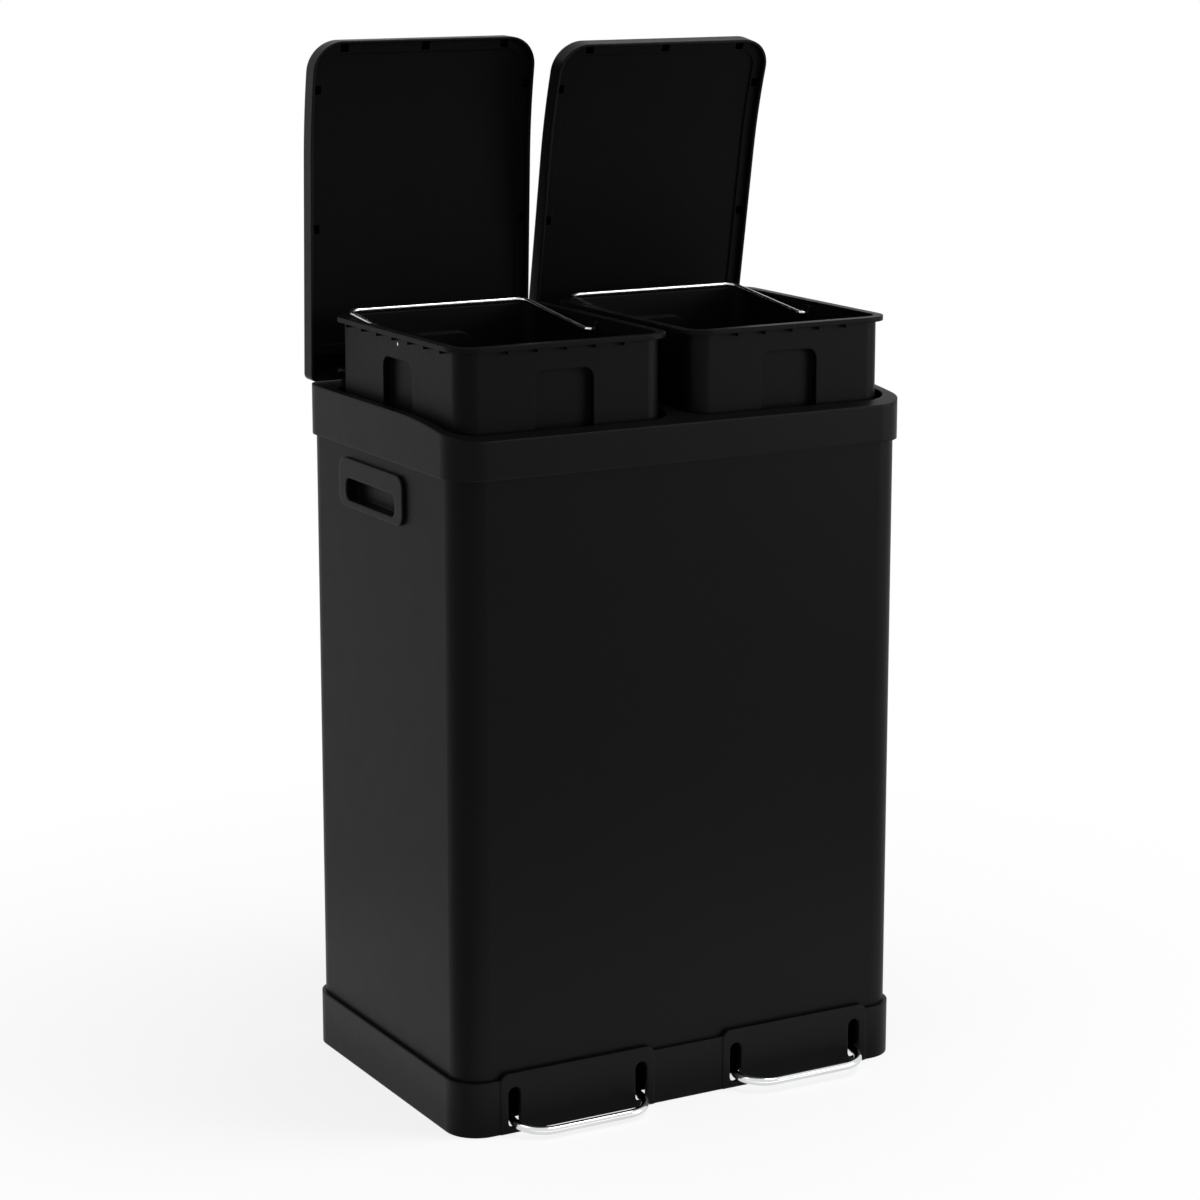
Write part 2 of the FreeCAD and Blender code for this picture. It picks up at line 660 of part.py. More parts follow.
def on_top(edge):
    """Whether an edge runs round the lid's upper surface."""
    lift = float(S.lid_gap + S.lid_height)
    for parameter in (edge.FirstParameter, edge.LastParameter,
                      (edge.FirstParameter + edge.LastParameter) / 2):
        place = edge.valueAt(parameter)
        height = float(S.collar_top) + lift
        reach = place.y - float(NOSE_START)
        if reach < 0:
            arc = float(S.nose_radius) + lift
            height = float(S.collar_top - S.nose_radius) + math.sqrt(arc ** 2 - reach ** 2)
        if abs(place.z - height) > TOLERANCE:
            return False
    start, end = edge.valueAt(edge.FirstParameter), edge.valueAt(edge.LastParameter)
    across = max(abs(start.y - float(NOSE_START)), abs(end.y - start.y)) < TOLERANCE
    return not across


def eye_place():
    """The middle of the crank's eye, in front of and below the hinge axis."""
    lean = math.radians(LID_TRAVEL / 2)
    return (HINGE_Y - S.lift_radius * math.cos(lean),
            HINGE_Z - S.lift_radius * math.sin(lean))


def crank_outline(roof):
    eye_y, eye_z = eye_place()
    radius = S.eye_radius + S.crank_wall
    return [(eye_y + radius, eye_z), (eye_y + radius, roof), (eye_y - radius, roof),
            (eye_y - radius, eye_z, radius, True), (eye_y, eye_z - radius, radius, True)]


def make_lid_liner():
    """The flat inner panel of the right lid, with clip notches round its edge."""
    edge = S.lid_wall + S.liner_gap
    low = S.lid_gap + S.liner_rise
    profile = prism("liner_profile", "YZ", S.lid_inner + edge, LID_OUTER - edge,
                    band(low, low + S.liner_thickness, LID_FRONT - edge, LINER_REAR))
    plan = prism("liner_plan", "XY", S.collar_top - S.lid_height, S.collar_top + S.lid_height,
                 lid_plan(edge, S.lid_rear_corner - S.lid_wall))
    plate = shared("liner_plate", profile, plan)
    deep = edge + S.liner_band
    step = prism("liner_step_profile", "YZ", S.lid_inner + deep, LID_OUTER - deep,
                 band(-S.lid_height, low + S.liner_step, LID_FRONT - deep,
                      LINER_REAR - S.liner_band))
    step_plan = prism("liner_step_plan", "XY", S.collar_top - 2 * S.lid_height,
                      S.collar_top + S.lid_height, lid_plan(deep, S.lid_rear_corner))
    panel = shared("liner_panel", step, step_plan)
    low_z, high_z = S.collar_top - S.lid_height, S.collar_top + S.lid_height
    half, depth = S.clip_width / 2, S.clip_depth
    front = -(LID_FRONT - edge)
    middle = (S.lid_inner + LID_OUTER) / 2
    offset = S.clip_corner_set
    across = [S.lid_inner + offset, middle, LID_OUTER - offset]
    paths = [rectangle(x - half, x + half, front - depth, front + depth) for x in across]
    for y in (HINGE_Y - S.clip_rear_set, S.clip_front_set - LID_FRONT):
        for x in (S.lid_inner + edge, LID_OUTER - edge):
            paths.append(rectangle(x - depth, x + depth, y - half, y + half))
    notches = prism("clip_notches", "XY", low_z, high_z, *paths)
    return cut("lid_liner_right", plate, joined("liner_cuts", panel, notches))


def make_hinge_pins():
    pins = []
    for index, x in enumerate((LUG_INNER, LUG_OUTER)):
        pins.append(prism(f"hinge_pin_{index}", "YZ", x - S.pin_length / 2,
                          x + S.pin_length / 2,
                          circles=[(HINGE_Y, HINGE_Z, S.pin_diameter / 2)]))
    return group("hinge_pins_right", pins)


# ---------------------------------------------------------------- buckets
def make_bucket():
    """The right bucket, as it hangs when it is pushed down into the frame."""
    piece = Moulding("bucket_right")
    x, y = BUCKET_X, BUCKET_Y
    top, bottom = BUCKET_TOP, BUCKET_BOTTOM
    band_bottom = top - S.band_height
    thin = S.bucket_wall
    lofted(piece, "PartDesign::AdditiveLoft", bottom, band_bottom, 0)
    piece.pad("XY", band_bottom, top, centred(HALF_WALL_X, HALF_WALL_Y, WALL_CORNER, x, y))
    lofted(piece, "PartDesign::SubtractiveLoft", bottom + thin, band_bottom, thin)
    piece.pocket("XY", band_bottom, top, centred(
        HALF_WALL_X - thin, HALF_WALL_Y - thin, WALL_CORNER - thin, x, y))
    rim = centred(RIM_HALF_X, RIM_HALF_Y, S.rim_corner, x, y)
    inside = centred(HALF_WALL_X - S.bucket_wall / 2, HALF_WALL_Y - S.bucket_wall / 2,
                     WALL_CORNER - S.bucket_wall / 2, x, y)
    lip = centred(RIM_HALF_X - S.rim_lip, RIM_HALF_Y - S.rim_lip,
                  S.rim_corner - S.rim_lip, x, y)
    piece.pad("XY", top - S.rim_plate, top, rim, inside)
    piece.pad("XY", top - S.rim_height, top, rim, lip)
    boss_x = HALF_WALL_X - S.bucket_wall / 2
    half, pivot = S.boss_width / 2, top - S.bail_drop
    for side in (-1, 1):
        inner_x = x + side * (boss_x - S.boss_depth - S.bucket_wall / 2)
        outer_x = x + side * boss_x
        low_x, high_x = (inner_x, outer_x) if side > 0 else (outer_x, inner_x)
        piece.pad("YZ", low_x, high_x,
                  centred(half, S.boss_height / 2, half / 2, y, pivot))
    reach = RIM_HALF_X
    piece.pocket("YZ", x - reach, x + reach,
                 circles=[(y, pivot, S.bail_wire / 2 + S.pin_play)])
    panel_middle = top - S.panel_drop - S.panel_height / 2
    for side in (-1, 1):
        add_panel(piece, "YZ", side, x, HALF_WALL_X, y, panel_middle)
        add_panel(piece, "XZ", side, y, HALF_WALL_Y, x, panel_middle)
    piece.pad("XY", top - S.rim_plate - S.gusset_height, top - S.rim_plate, *gussets())
    return piece.body


def add_panel(piece, plane, side, middle, half, across, panel_middle):
    """A panel of one wall, set inwards, with a round-cornered outline."""
    deep, thin = S.panel_depth, S.bucket_wall
    spans = [(half - thin - deep, half - thin / 2), (half - deep, half + S.rim_overhang)]
    for cutting, (near, far) in enumerate(spans):
        low, high = (middle + near, middle + far) if side > 0 else (
            middle - far, middle - near)
        rim = 0 if cutting else thin
        outline = centred(S.panel_width / 2 + rim, S.panel_height / 2 + rim,
                          S.panel_corner + rim, across, panel_middle)
        (piece.pocket if cutting else piece.pad)(plane, low, high, outline)


def gussets():
    """The small ribs between a bucket's wall and the lip of its rim, seen from above."""
    half = S.gusset_thickness / 2
    outer_x, outer_y = RIM_HALF_X - S.rim_lip / 2, RIM_HALF_Y - S.rim_lip / 2
    inner_x, inner_y = HALF_WALL_X - S.bucket_wall / 2, HALF_WALL_Y - S.bucket_wall / 2
    paths = []
    for side in (-1, 1):
        for step in range(-3, 4):
            y = BUCKET_Y + step * S.gusset_side_pitch
            ends = sorted((BUCKET_X + side * inner_x, BUCKET_X + side * outer_x), key=float)
            paths.append(rectangle(*ends, y - half, y + half))
        for step in range(-2, 3):
            x = BUCKET_X + step * S.gusset_end_pitch
            ends = sorted((BUCKET_Y + side * inner_y, BUCKET_Y + side * outer_y), key=float)
            paths.append(rectangle(x - half, x + half, *ends))
    return paths


def lofted(piece, kind, low, high, inset):
    """The tapered part of the bucket's wall with a rounded foot, drawn in by an inset."""
    turn = S.foot_round
    outlines = []
    for level, draw_in in ((low, S.foot_draw + turn * 0.6),
                           (low + turn * 0.25, S.foot_draw + turn * 0.2),
                           (low + turn, S.foot_draw), (high, 0)):
        outline = piece.sketch("XY", level)
        shrink = draw_in + inset
        draw(outline, centred(HALF_WALL_X - shrink, HALF_WALL_Y - shrink,
                              WALL_CORNER - inset, BUCKET_X, BUCKET_Y))
        outlines.append(outline)
    made = piece.body.newObject(kind, piece.label("loft"))
    made.Profile, made.Sections, made.Ruled = outlines[0], outlines[1:], True
    return made


def make_bail():
    """The right bucket's wire handle, flat, with its pivots on the X axis."""
    width, reach, hook = BAIL_HALF_X, BAIL_REACH, S.bail_hook
    corner = S.bail_corner
    tip = HALF_WALL_X - S.throat_gap
    path = [
        (tip, 0), (width + hook, 0, hook, False), (width, hook),
        (width, reach - corner, corner, True), (width - corner, reach),
        (-(width - corner), reach, corner, True), (-width, reach - corner),
        (-width, hook, hook, False), (-(width + hook), 0), (-tip, 0),
    ]
    return bent_wire("bail_right", "XY", path, S.bail_wire, "YZ", tip, (0, 0))


# ---------------------------------------------------------------- lift linkage
def make_push_rod():
    """The right push rod at the middle of its travel, with a hook at each end."""
    far = CRANK_X - S.crank_thickness / 2 - S.rod_overrun
    x, bend = ROD_X, S.rod_bend
    path = [
        (far, ROD_FOOT), (x - bend, ROD_FOOT, bend, True), (x, ROD_FOOT + bend),
        (x, HINGE_Z - bend, bend, True), (x - bend, HINGE_Z), (far, HINGE_Z),
    ]
    return bent_wire("push_rod_right", "XZ", path, S.rod_diameter, "YZ", far,
                     (0, ROD_FOOT))


def make_rod_guides():
    """Two plastic guides that stand on the rear wall and steer a push rod."""
    back = S.shell_depth / 2 - S.sheet_thickness
    guides = []
    for index, middle in enumerate((S.guide_low_height, S.guide_high_height)):
        half = S.guide_width / 2
        block = prism(f"guide_{index}", "XY", middle - S.guide_height / 2,
                      middle + S.guide_height / 2,
                      rectangle(ROD_X - half, ROD_X + half, ROD_Y - S.guide_front, back),
                      circles=[(ROD_X, ROD_Y, S.rod_diameter / 2 + S.pin_play)])
        guides.append(block)
    return group("rod_guides_right", guides)


# ---------------------------------------------------------------- pedals
def make_pedal_bar():
    """The chrome pedal: a bar bent to a U, level, with its legs in the pedal lever."""
    low, high = SLOT_INNER, SLOT_OUTER
    front, bend = -PEDAL_FRONT, S.pedal_bend
    end = AXLE_Y - S.beam_front + S.socket_depth
    path = [
        (low, end), (low, front + bend, bend, True), (low + bend, front),
        (high - bend, front, bend, True), (high, front + bend), (high, end),
    ]
    return bent_wire("pedal_bar_right", "XY", path, S.pedal_wire, "XZ", end, (low, 0))


def make_pedal_lever():
    """The lever that the bar is pressed into, level, about the axle."""
    piece = Moulding("pedal_lever_right")
    low, high = SLOT_INNER - S.beam_overrun, SLOT_OUTER + S.beam_overrun
    front, rear = AXLE_Y - S.beam_front, AXLE_Y + S.beam_rear
    half = S.beam_height / 2
    piece.pad("XY", -half, half, rectangle(low, high, front, rear))
    arm_half = S.crank_thickness / 2
    end = S.arm_height / 2
    rear_end = AXLE_Y + ARM_REACH
    piece.pad("YZ", CRANK_X - arm_half, CRANK_X + arm_half, [
        (front + S.beam_rear, -half), (rear_end, -S.arm_drop - end, end, True),
        (rear_end + end, -S.arm_drop, end, True), (rear_end, -S.arm_drop + end),
        (front + S.beam_rear, half)])
    piece.pocket("XZ", front, front + S.socket_depth + S.bearing_gap,
                 circles=[(x, 0, S.pedal_wire / 2 + S.pin_play / 4)
                          for x in (SLOT_INNER, SLOT_OUTER)])
    piece.pocket("YZ", low, high,
                 circles=[(AXLE_Y, 0, S.axle_diameter / 2 + S.pin_play)])
    piece.pocket("YZ", CRANK_X - S.crank_thickness, CRANK_X + S.crank_thickness,
                 circles=[(rear_end, -S.arm_drop, S.arm_hole_radius)])
    return piece.body


def bearing_span():
    """The outer faces of the two bearings that carry one pedal."""
    reach = S.beam_overrun + S.bearing_gap + S.bearing_thickness
    return SLOT_INNER - reach, SLOT_OUTER + reach


def make_pedal_bearings():
    """Two brackets under the floor that hold the pedal's axle."""
    near, far = bearing_span()
    under_deck = S.deck_top - S.deck_thickness
    half = S.bearing_depth / 2
    brackets = []
    for index, low_x in enumerate((near, far - S.bearing_thickness)):
        high_x = low_x + S.bearing_thickness
        cheek = prism(f"bearing_cheek_{index}", "YZ", low_x, high_x, [
            (AXLE_Y - half, under_deck),
            (AXLE_Y - half, S.axle_height),
            (AXLE_Y, S.axle_height - half),
            (AXLE_Y + half, S.axle_height), (AXLE_Y + half, under_deck)])
        flange = prism(f"bearing_flange_{index}", "XY", under_deck - S.bearing_plate,
                       under_deck, rectangle(low_x, high_x,
                                             AXLE_Y - half - S.bearing_flange,
                                             AXLE_Y + half + S.bearing_flange))
        bore = prism(f"bearing_bore_{index}", "YZ", low_x, high_x, circles=[
            (AXLE_Y, S.axle_height, S.axle_diameter / 2 + S.pin_play / 4)])
        brackets.append(cut(f"bearing_{index}",
                            joined(f"bearing_body_{index}", cheek, flange), bore))
    return group("pedal_bearings_right", brackets)


def make_pedal_axle():
    near, far = bearing_span()
    return prism("pedal_axle_right", "YZ", near, far,
                 circles=[(AXLE_Y, S.axle_height, S.axle_diameter / 2)])


# ---------------------------------------------------------------- assembly
def turned(pivot, degrees):
    """A placement that turns a piece about an axis along +X through a pivot."""
    return FreeCAD.Placement(VECTOR(0, 0, 0), FreeCAD.Rotation(VECTOR(1, 0, 0), degrees),
                             VECTOR(0, float(pivot[0]), float(pivot[1])))


def mirrored(source, name, placement):
    """The left-hand twin of a right-hand piece, moved on by a placement."""
    made = DOC.addObject("Part::Mirroring", name)
    made.Source = source
    made.Base = VECTOR(0, 0, 0)
    made.Normal = VECTOR(1, 0, 0)
    made.Placement = placement
    return made


def assemble():
    """Build every piece, place the right-hand ones and mirror them to the left."""
    hinge = (HINGE_Y, HINGE_Z)
    axle = (AXLE_Y, S.axle_height)
    stay = FreeCAD.Placement()
    extra_open = float(S.open_left - S.open_right)
    extra_press = PEDAL_SWING * extra_open / LID_TRAVEL
    extra_rise = float(ROD_TRAVEL) * extra_open / LID_TRAVEL
    pieces = [make_body_shell(), make_base(), make_feet(), make_top_frame()]

    lid_turn = turned(hinge, -float(S.open_right))
    lid_more = turned(hinge, -extra_open)
    pressed = float(S.pedal_down) - PEDAL_SWING * (1 - float(S.open_right) / LID_TRAVEL)
    drop = FreeCAD.Placement(VECTOR(0, 0, float(S.axle_height)), FreeCAD.Rotation())
    pedal_turn = turned(axle, pressed) * drop
    pedal_more = turned(axle, extra_press)
    rise = float(ROD_TRAVEL) * (float(S.open_right) / LID_TRAVEL - 0.5)
    rod_place = FreeCAD.Placement(VECTOR(0, float(ROD_Y), rise), FreeCAD.Rotation())
    rod_more = FreeCAD.Placement(VECTOR(0, 0, extra_rise), FreeCAD.Rotation())
    lifted = FreeCAD.Placement(VECTOR(0, 0, float(S.bucket_lift)), FreeCAD.Rotation())
    pivot_z = float(BUCKET_TOP - S.bail_drop + S.bucket_lift)
    bail_lean = math.degrees(math.atan2(float(S.bail_drop + S.bail_rest_height),
                                        float(BAIL_REACH)))
    bail_place = FreeCAD.Placement(
        VECTOR(float(BUCKET_X), float(BUCKET_Y), pivot_z),
        FreeCAD.Rotation(VECTOR(1, 0, 0), bail_lean))

    pairs = [
        (make_grip(), stay, stay),
        (make_lid_shell(), lid_turn, lid_more),
        (make_lid_liner(), lid_turn, lid_more),
        (make_hinge_pins(), lid_turn, lid_more),
        (make_bucket(), lifted, stay),
        (make_bail(), bail_place, stay),
        (make_push_rod(), rod_place, rod_more),
        (make_rod_guides(), stay, stay),
        (make_pedal_bar(), pedal_turn, pedal_more),
        (make_pedal_lever(), pedal_turn, pedal_more),
        (make_pedal_bearings(), stay, stay),
        (make_pedal_axle(), stay, stay),
    ]
    for right, placement, more in pairs:
        right.Placement = placement
        pieces.append(right)
        pieces.append(mirrored(right, right.Name.replace("right", "left"), more))
    return pieces


def check(pieces):
    """Stop if a feature failed, a cut took nothing away or a piece isn't a valid solid."""
    for thing in DOC.Objects:
        if "Invalid" in thing.State or "Error" in thing.State:
            raise RuntimeError(f"{thing.Name} failed: {thing.State}")
        if thing.TypeId == "PartDesign::Pocket":
            taken = thing.BaseFeature.Shape.Volume - thing.Shape.Volume
            if taken < 1:
                raise RuntimeError(f"{thing.Name} cuts nothing")
    for piece in pieces:
        shape = piece.Shape
        if shape.isNull() or not shape.isValid() or not shape.Solids:
            raise RuntimeError(f"{piece.Name} is not a valid solid")


def main():
    pieces = assemble()
    DOC.recompute()
    check(pieces)
    os.makedirs("parts", exist_ok=True)
    for piece in pieces:
        piece.Label = piece.Name
        piece.Shape.exportStep(f"parts/{piece.Label}.step")
        print(f"{piece.Label}: {len(piece.Shape.Solids)} solid(s), "
              f"{piece.Shape.Volume / 1000:.1f} cm3")
    print(f"pedal swing {PEDAL_SWING:.3f} deg, rod travel {float(ROD_TRAVEL):.3f} mm, "
          f"rod y {float(ROD_Y):.3f}, rod foot {float(ROD_FOOT):.3f}")


main()
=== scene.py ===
"""Double recycling bin: finishes, stage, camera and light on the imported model.

The model's forms are all CAD; this script adds none. Lengths are in metres.
"""
import json
import math

import bpy
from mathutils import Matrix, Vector

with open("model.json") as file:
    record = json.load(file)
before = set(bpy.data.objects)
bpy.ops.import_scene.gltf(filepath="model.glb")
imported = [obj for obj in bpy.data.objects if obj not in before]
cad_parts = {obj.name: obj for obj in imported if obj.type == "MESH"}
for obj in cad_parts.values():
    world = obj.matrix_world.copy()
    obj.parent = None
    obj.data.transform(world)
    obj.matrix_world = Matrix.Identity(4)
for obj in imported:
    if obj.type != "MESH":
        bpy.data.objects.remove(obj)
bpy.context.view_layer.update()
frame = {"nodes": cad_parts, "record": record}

# camera: where it stands, which way it looks and how long its lens is
CAMERA_PLACE = Vector((-1.5357, -2.7332, 1.1585))
CAMERA_AZIMUTH = math.radians(-29.27)
CAMERA_ELEVATION = math.radians(11.36)
SENSOR_WIDTH = 36.0  # in millimetres, as the lens
LENS = 98.43
FRAME_SHIFT = -0.06

# surfaces
NOISE_LOW, NOISE_HIGH = 0.3, 0.7  # the range that most of a noise texture keeps to
ROUGHNESS_SPREAD = 0.02           # how far moulded plastic strays from its roughness
EDGE_SAMPLES = 6
PAINT_IOR = 1.5
PLASTIC_IOR = 1.46

# stage and light
WHITE = (1.0, 1.0, 1.0, 1.0)
FLOOR_GREY = (0.72, 0.72, 0.72, 1.0)
SHADOW_GREY = (0.95, 0.95, 0.95, 1.0)
# painted shade: the colour of the dark sheet that stands for the shaded floor inside the base
PAINTED_SHADE_GREY = (0.02, 0.02, 0.02, 1.0)
AMBIENT = 0.5
SHADOW_REACH = (0.35, 1.1)  # from the middle of the floor, where the shadow fades out
SHADOW_GLOW = (0.8, 1.0)    # the share of the floor that is plain white at those distances
FLOOR_REACH = 3.0
FLOOR_LEVEL = -0.0005
GLOW_LEVEL = 0.003
# painted shade: a dark sheet on the floor inside the base's skirt, where the floor lies in
# shade, its rear corners cut to clear the round ones
PAINTED_SHADE_CORNERS = [(-0.2425, -0.131), (0.2425, -0.131), (0.2425, 0.135), (0.212, 0.1655),
              (-0.212, 0.1655), (-0.2425, 0.135)]


# ---------------------------------------------------------------- materials
class Finish:
    """A node material with a small kit for procedural detail."""

    def __init__(self, name):
        self.material = bpy.data.materials.new(name)
        self.material.use_nodes = True
        self.nodes = self.material.node_tree.nodes
        self.links = self.material.node_tree.links
        self.shader = self.nodes["Principled BSDF"]
        self.place = self.nodes.new("ShaderNodeTexCoord").outputs["Object"]

    def noise(self, size, detail=2.0, stretch=None):
        """Noise whose features are about size metres across."""
        texture = self.nodes.new("ShaderNodeTexNoise")
        texture.inputs["Scale"].default_value = 1.0 / size
        texture.inputs["Detail"].default_value = detail
        source = self.place
        if stretch:
            mapping = self.nodes.new("ShaderNodeMapping")
            mapping.inputs["Scale"].default_value = stretch
            self.links.new(source, mapping.inputs["Vector"])
            source = mapping.outputs["Vector"]
        self.links.new(source, texture.inputs["Vector"])
        return texture.outputs["Fac"]

    def spread(self, source, low, high):
        """A value from low to high that follows the source."""
        ranged = self.nodes.new("ShaderNodeMapRange")
        ranged.inputs["From Min"].default_value = NOISE_LOW
        ranged.inputs["From Max"].default_value = NOISE_HIGH
        ranged.inputs["To Min"].default_value = low
        ranged.inputs["To Max"].default_value = high
        self.links.new(source, ranged.inputs["Value"])
        return ranged.outputs["Result"]

    def colour(self, source, dark, light):
        """A base colour from dark to light that follows the source."""
        mix = self.nodes.new("ShaderNodeMix")
        mix.data_type = "RGBA"
        mix.inputs["A"].default_value = (*dark, 1.0)
        mix.inputs["B"].default_value = (*light, 1.0)
        self.links.new(self.spread(source, 0.0, 1.0), mix.inputs["Factor"])
        self.links.new(mix.outputs["Result"], self.shader.inputs["Base Color"])

    def roughness(self, source, low, high):
        """A roughness from low to high that follows the source."""
        self.links.new(self.spread(source, low, high), self.shader.inputs["Roughness"])

    def relief(self, source, height, edge=0.0):
        """Bump of a height in metres, over edges that look rounded by edge metres."""
        bump = self.nodes.new("ShaderNodeBump")
        bump.inputs["Distance"].default_value = height
        self.links.new(source, bump.inputs["Height"])
        if edge:
            bevel = self.nodes.new("ShaderNodeBevel")
            bevel.samples = EDGE_SAMPLES
            bevel.inputs["Radius"].default_value = edge
            self.links.new(bevel.outputs["Normal"], bump.inputs["Normal"])
        self.links.new(bump.outputs["Normal"], self.shader.inputs["Normal"])

    def set(self, **values):
        """Set constant sockets, named with underscores for spaces."""
        for name, value in values.items():
            self.shader.inputs[name.replace("_", " ")].default_value = value


def painted_steel():
    """Black powder coat on sheet steel: smooth, with a very fine orange peel."""
    finish = Finish("black_powder_coat")
    finish.colour(finish.noise(0.25, 3), (0.0016, 0.0016, 0.0017), (0.0019, 0.0019, 0.0020))
    finish.roughness(finish.noise(0.03, 4), 0.41, 0.44)
    finish.relief(finish.noise(0.0016, 2), 0.00003)
    finish.set(IOR=PAINT_IOR, Specular_IOR_Level=0.055)
    return finish.material


def moulded(name, dark, light, rough, gloss, edge=0.0012, grain=0.0009, depth=0.00003):
    """Moulded plastic with a fine spark-eroded grain and soft edges."""
    finish = Finish(name)
    finish.colour(finish.noise(0.06, 4), dark, light)
    finish.roughness(finish.noise(0.012, 3), rough - ROUGHNESS_SPREAD, rough + ROUGHNESS_SPREAD)
    finish.relief(finish.noise(grain, 2), depth, edge)
    finish.set(IOR=PLASTIC_IOR, Specular_IOR_Level=gloss)
    return finish.material


def chrome():
    """Bright chrome, a little uneven."""
    finish = Finish("bright_chrome")
    finish.colour(finish.noise(0.03, 2), (0.66, 0.67, 0.68), (0.72, 0.73, 0.74))
    finish.roughness(finish.noise(0.01, 4), 0.05, 0.11)
    finish.relief(finish.noise(0.004, 2), 0.000004)
    finish.set(Metallic=1.0)
    return finish.material


def drawn_wire():
    """Nickel-plated wire with faint lines along it."""
    finish = Finish("plated_wire")
    finish.colour(finish.noise(0.02, 2), (0.55, 0.55, 0.56), (0.66, 0.66, 0.67))
    finish.roughness(finish.noise(0.006, 3), 0.18, 0.28)
    finish.relief(finish.noise(0.0005, 2, (1.0, 0.05, 1.0)), 0.000005)
    finish.set(Metallic=1.0)
    return finish.material


def rubber():
    """Dull black rubber."""
    finish = Finish("foot_rubber")
    finish.colour(finish.noise(0.01, 3), (0.012, 0.012, 0.012), (0.02, 0.02, 0.02))
    finish.roughness(finish.noise(0.003, 3), 0.75, 0.85)
    finish.relief(finish.noise(0.0006, 2), 0.00004, 0.0005)
    return finish.material


MATERIALS = {
    "black_steel": painted_steel(),
    "black_plastic": moulded(
        "black_frame_plastic", (0.0021, 0.0021, 0.0022), (0.0025, 0.0025, 0.0026),
        rough=0.40, gloss=0.07, edge=0.003),
    "liner_plastic": moulded(
        "black_liner_plastic", (0.0013, 0.0013, 0.0014), (0.0017, 0.0017, 0.0018),
        rough=0.6, gloss=0.042, grain=0.0012, depth=0.00005),
    "bucket_plastic": moulded(
        "black_bucket_plastic", (0.0014, 0.0014, 0.0015), (0.0018, 0.0018, 0.0019),
        rough=0.43, gloss=0.06, edge=0.0016),
    "chrome_bar": chrome(),
    "steel_wire": drawn_wire(),
    "white_plastic": moulded(
        "natural_guide_plastic", (0.50, 0.50, 0.47), (0.58, 0.57, 0.54),
        rough=0.5, gloss=0.5),
    "foot_rubber": rubber(),
}


def dress_nodes():
    """Give each CAD node the finish of its material slot."""
    slots = {part["node"]: part["material_slot"] for part in frame["record"]["subparts"]}
    for name, node in frame["nodes"].items():
        node.data.materials.clear()
        node.data.materials.append(MATERIALS[slots[name]])


# ---------------------------------------------------------------- stage
def seen_directly(nodes, links):
    """1 for camera, glossy and transmission rays, 0 for the light that surfaces scatter."""
    path = nodes.new("ShaderNodeLightPath")
    value = path.outputs["Is Camera Ray"]
    for kind in ("Is Glossy Ray", "Is Transmission Ray"):
        either = nodes.new("ShaderNodeMath")
        either.operation = "MAXIMUM"
        links.new(value, either.inputs[0])
        links.new(path.outputs[kind], either.inputs[1])
        value = either.outputs[0]
    return value


def matt(nodes, colour):
    """A matt shader of the colour."""
    shader = nodes.new("ShaderNodeBsdfDiffuse")
    shader.inputs["Color"].default_value = colour
    return shader.outputs["BSDF"]


def floor_white():
    """A pale floor that is seen as white and keeps the object's shadow."""
    material = bpy.data.materials.new("floor_white")
    material.use_nodes = True
    material.cycles.emission_sampling = "NONE"
    nodes, links = material.node_tree.nodes, material.node_tree.links
    nodes.clear()
    distance = nodes.new("ShaderNodeVectorMath")
    distance.operation = "LENGTH"
    links.new(nodes.new("ShaderNodeTexCoord").outputs["Object"], distance.inputs[0])
    fade = nodes.new("ShaderNodeMapRange")
    fade.inputs["From Min"].default_value, fade.inputs["From Max"].default_value = SHADOW_REACH
    fade.inputs["To Min"].default_value, fade.inputs["To Max"].default_value = SHADOW_GLOW
    links.new(distance.outputs["Value"], fade.inputs["Value"])
    glow = nodes.new("ShaderNodeEmission")
    glow.inputs["Color"].default_value = WHITE
    white = nodes.new("ShaderNodeMixShader")
    links.new(fade.outputs["Result"], white.inputs["Fac"])
    links.new(matt(nodes, SHADOW_GREY), white.inputs[1])
    links.new(glow.outputs["Emission"], white.inputs[2])
    mix = nodes.new("ShaderNodeMixShader")
    links.new(seen_directly(nodes, links), mix.inputs["Fac"])
    links.new(matt(nodes, FLOOR_GREY), mix.inputs[1])
    links.new(white.outputs["Shader"], mix.inputs[2])
    out = nodes.new("ShaderNodeOutputMaterial")
    links.new(mix.outputs["Shader"], out.inputs["Surface"])
    return material


def painted_shade_floor():
    """Painted shade: a dark matt sheet for the floor inside the base, which no light reaches.
    """
    material = bpy.data.materials.new("painted_shade_floor")
    material.use_nodes = True
    nodes, links = material.node_tree.nodes, material.node_tree.links
    nodes.clear()
    out = nodes.new("ShaderNodeOutputMaterial")
    links.new(matt(nodes, PAINTED_SHADE_GREY), out.inputs["Surface"])
    return material


def level_sheet(name, corners, level, material):
    """A level sheet of the stage with the given corners."""
    mesh = bpy.data.meshes.new(name)
    mesh.from_pydata([(x, y, level) for x, y in corners], [], [range(len(corners))])
    mesh.materials.append(material)
    sheet = bpy.data.objects.new(name, mesh)
    bpy.context.scene.collection.objects.link(sheet)


def make_floor():
    """The floor, and a sheet of painted shade inside the base that shows dark through the pedal
    slots.
    """
    reach = FLOOR_REACH
    level_sheet("floor", [(-reach, -reach), (reach, -reach), (reach, reach), (-reach, reach)],
                FLOOR_LEVEL, floor_white())
    # painted shade: a dark sheet laid where the floor inside the base lies in shade
    level_sheet("painted_shade_under_base", PAINTED_SHADE_CORNERS, FLOOR_LEVEL / 2, painted_shade_floor())


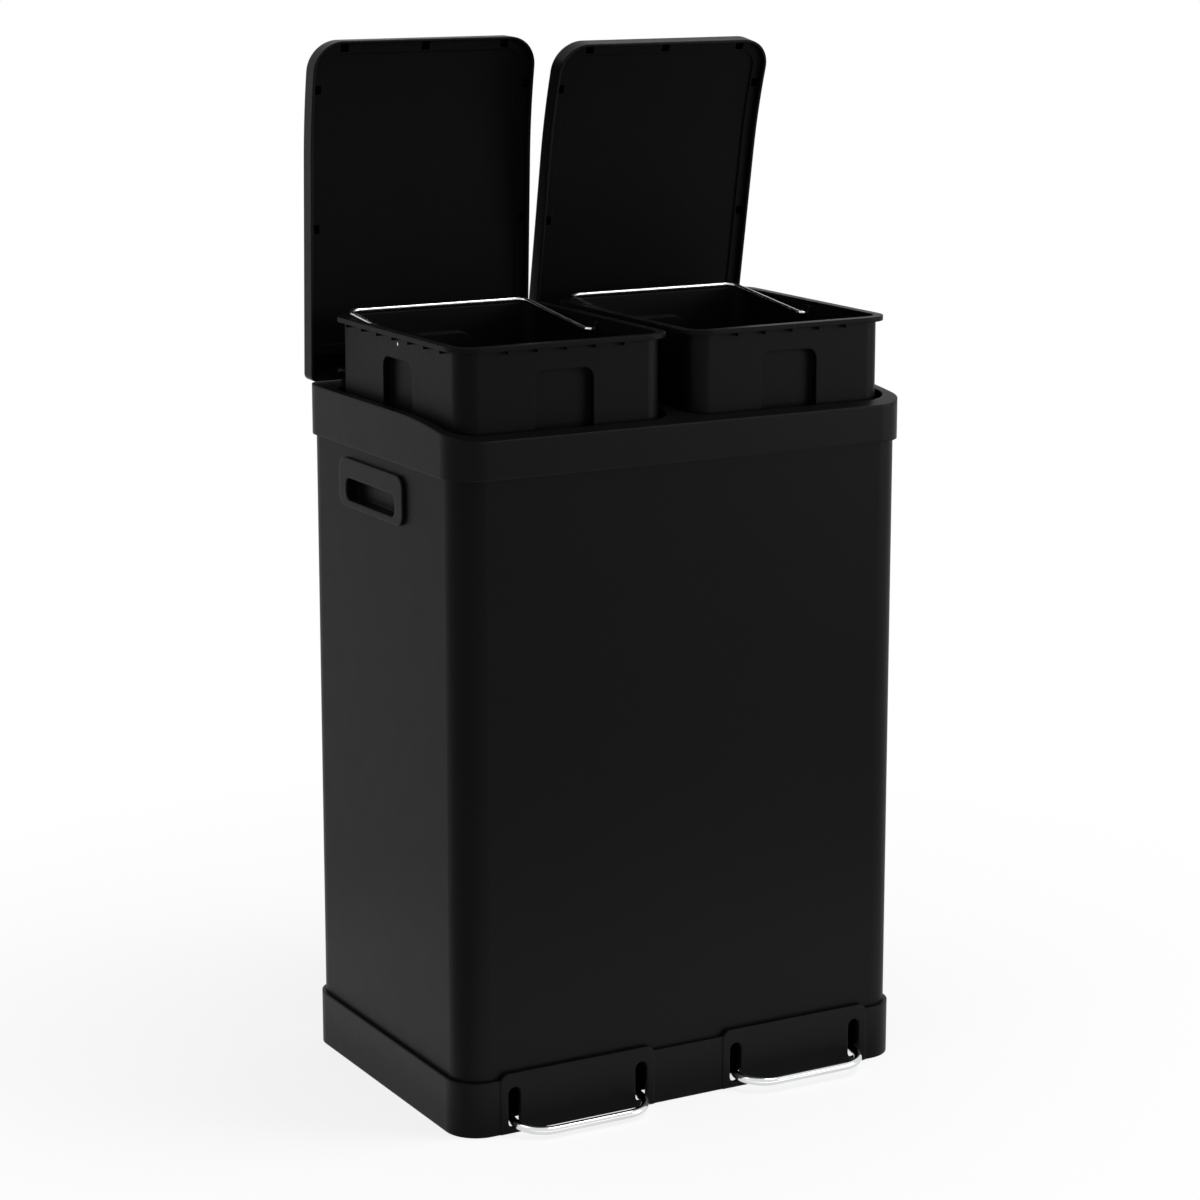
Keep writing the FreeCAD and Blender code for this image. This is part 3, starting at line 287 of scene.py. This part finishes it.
def make_world():
    """A white room that is seen at full strength and lights the object with less."""
    world = bpy.data.worlds.new("white_room")
    bpy.context.scene.world = world
    world.use_nodes = True
    world.cycles.sampling_method = "NONE"
    nodes, links = world.node_tree.nodes, world.node_tree.links
    nodes.clear()
    mix = nodes.new("ShaderNodeMixShader")
    links.new(seen_directly(nodes, links), mix.inputs["Fac"])
    for socket, strength in ((1, AMBIENT), (2, 1.0)):
        room = nodes.new("ShaderNodeBackground")
        room.inputs["Color"].default_value = WHITE
        room.inputs["Strength"].default_value = strength
        links.new(room.outputs["Background"], mix.inputs[socket])
    out = nodes.new("ShaderNodeOutputWorld")
    links.new(mix.outputs["Shader"], out.inputs["Surface"])


# ---------------------------------------------------------------- light and camera
def soft_box(name, place, target, width, height, watts):
    """A rectangular lamp at place that faces target and that the camera doesn't see."""
    light = bpy.data.lights.new(name, "AREA")
    light.shape = "RECTANGLE"
    light.size, light.size_y, light.energy = width, height, watts
    lamp = bpy.data.objects.new(name, light)
    lamp.visible_camera = False
    bpy.context.scene.collection.objects.link(lamp)
    lamp.location = place
    lamp.rotation_mode = "QUATERNION"
    lamp.rotation_quaternion = (Vector(target) - Vector(place)).to_track_quat("-Z", "Y")


def floor_glow(name, x, y, width, depth, watts):
    """The white floor's glow on the foot of a side: a lamp just over it, facing up."""
    soft_box(name, (x, y, GLOW_LEVEL), (x, y, 1.0), width, depth, watts)


def light_scene():
    """Lamps from above, from the left and from the right, and the floor's glow."""
    soft_box("key_light", place=(0.9, -0.6, 2.6), target=(0.0, 0.0, 0.45),
             width=0.8, height=0.8, watts=20)
    soft_box("side_light", place=(-1.6, 0.2, 2.2), target=(-0.5, 0.2, 0.1),
             width=1.2, height=1.2, watts=8)
    soft_box("right_light", place=(2.3, -2.0, 1.1), target=(0.2, -0.16, 0.6),
             width=1.4, height=1.6, watts=44)
    floor_glow("front_glow", x=0.1, y=-0.43, width=0.9, depth=0.4, watts=1.3)
    floor_glow("side_glow", x=-0.37, y=0.17, width=0.18, depth=0.65, watts=0.16)


def make_camera():
    """The photograph's camera."""
    camera = bpy.data.cameras.new("camera")
    camera.sensor_width = SENSOR_WIDTH
    camera.lens = LENS
    camera.shift_y = FRAME_SHIFT
    holder = bpy.data.objects.new("camera", camera)
    bpy.context.scene.collection.objects.link(holder)
    level = math.cos(CAMERA_ELEVATION)
    back = Vector((math.sin(CAMERA_AZIMUTH) * level, -math.cos(CAMERA_AZIMUTH) * level,
                   math.sin(CAMERA_ELEVATION)))
    holder.location = CAMERA_PLACE
    holder.rotation_mode = "QUATERNION"
    holder.rotation_quaternion = (-back).to_track_quat("-Z", "Y")
    bpy.context.scene.camera = holder


dress_nodes()
make_floor()
make_world()
light_scene()
make_camera()
bpy.context.scene.view_settings.view_transform = "Standard"
